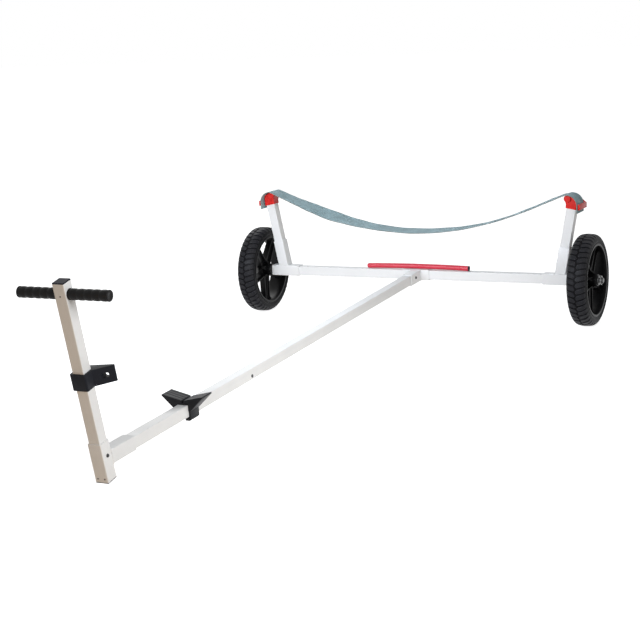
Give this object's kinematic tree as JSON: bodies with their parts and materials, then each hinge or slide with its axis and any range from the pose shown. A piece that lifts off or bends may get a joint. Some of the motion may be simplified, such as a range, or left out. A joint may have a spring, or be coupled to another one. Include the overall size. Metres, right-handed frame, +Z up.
{
  "type": "boat launching trolley",
  "caption": "Two-wheeled hand trolley for launching a small boat, with a leaning bow post and handle, keel chock and hull sling.",
  "frame": {"origin": "middle of the footprint at floor level", "axes": "+X right seen from the handle, +Y back from the handle to the axle, +Z up"},
  "size_m": [1.6606, 2.8028, 0.6433],
  "materials": {
    "white_tube": "satin white powder coat",
    "black_rubber": "matte",
    "black_plastic": "satin",
    "red_plastic": "semi-gloss",
    "red_pipe": "gloss",
    "webbing": "woven",
    "tyre": "matte",
    "bare_metal": "bare",
    "steel": "bright",
    "bush_plastic": "smooth"
  },
  "bodies": {
    "frame": {"front_socket": "white_tube", "foot_plug": "black_plastic", "bow_post": "white_tube", "post_cap": "black_plastic", "handle_bar": "bare_metal", "bow_snubber": "black_rubber", "spine_tube": "white_tube", "keel_chock": "black_rubber", "centre_socket": "white_tube", "cross_tube": "white_tube", "hull_guard": "red_pipe", "sling_strap": "webbing", "grip_right": "black_rubber", "grip_left": "black_rubber", "corner_socket_right": "white_tube", "corner_socket_left": "white_tube", "upright_right": "white_tube", "upright_left": "white_tube", "sling_cap_right": "red_plastic", "sling_cap_left": "red_plastic", "axle_block_right": "bare_metal", "axle_block_left": "bare_metal", "axle_stub_right": "steel", "axle_stub_left": "steel", "inner_washer_right": "steel", "inner_washer_left": "steel", "outer_washer_right": "steel", "outer_washer_left": "steel", "axle_pin_right": "steel", "axle_pin_left": "steel"},
    "wheel_left": {"tyre_left": "tyre", "wheel_rim_left": "black_plastic", "outer_bush_left": "bush_plastic", "inner_bush_left": "bush_plastic"},
    "wheel_right": {"tyre_right": "tyre", "wheel_rim_right": "black_plastic", "outer_bush_right": "bush_plastic", "inner_bush_right": "bush_plastic"}
  },
  "joints": [
    {"name": "wheel_left_spin", "type": "hinge", "parent": "frame", "child": "wheel_left", "pos_m": [-0.7635, 1.20942, 0.192], "axis": [1, 0, 0], "continuous": true},
    {"name": "wheel_right_spin", "type": "hinge", "parent": "frame", "child": "wheel_right", "pos_m": [0.7635, 1.20942, 0.192], "axis": [1, 0, 0], "continuous": true}
  ]
}
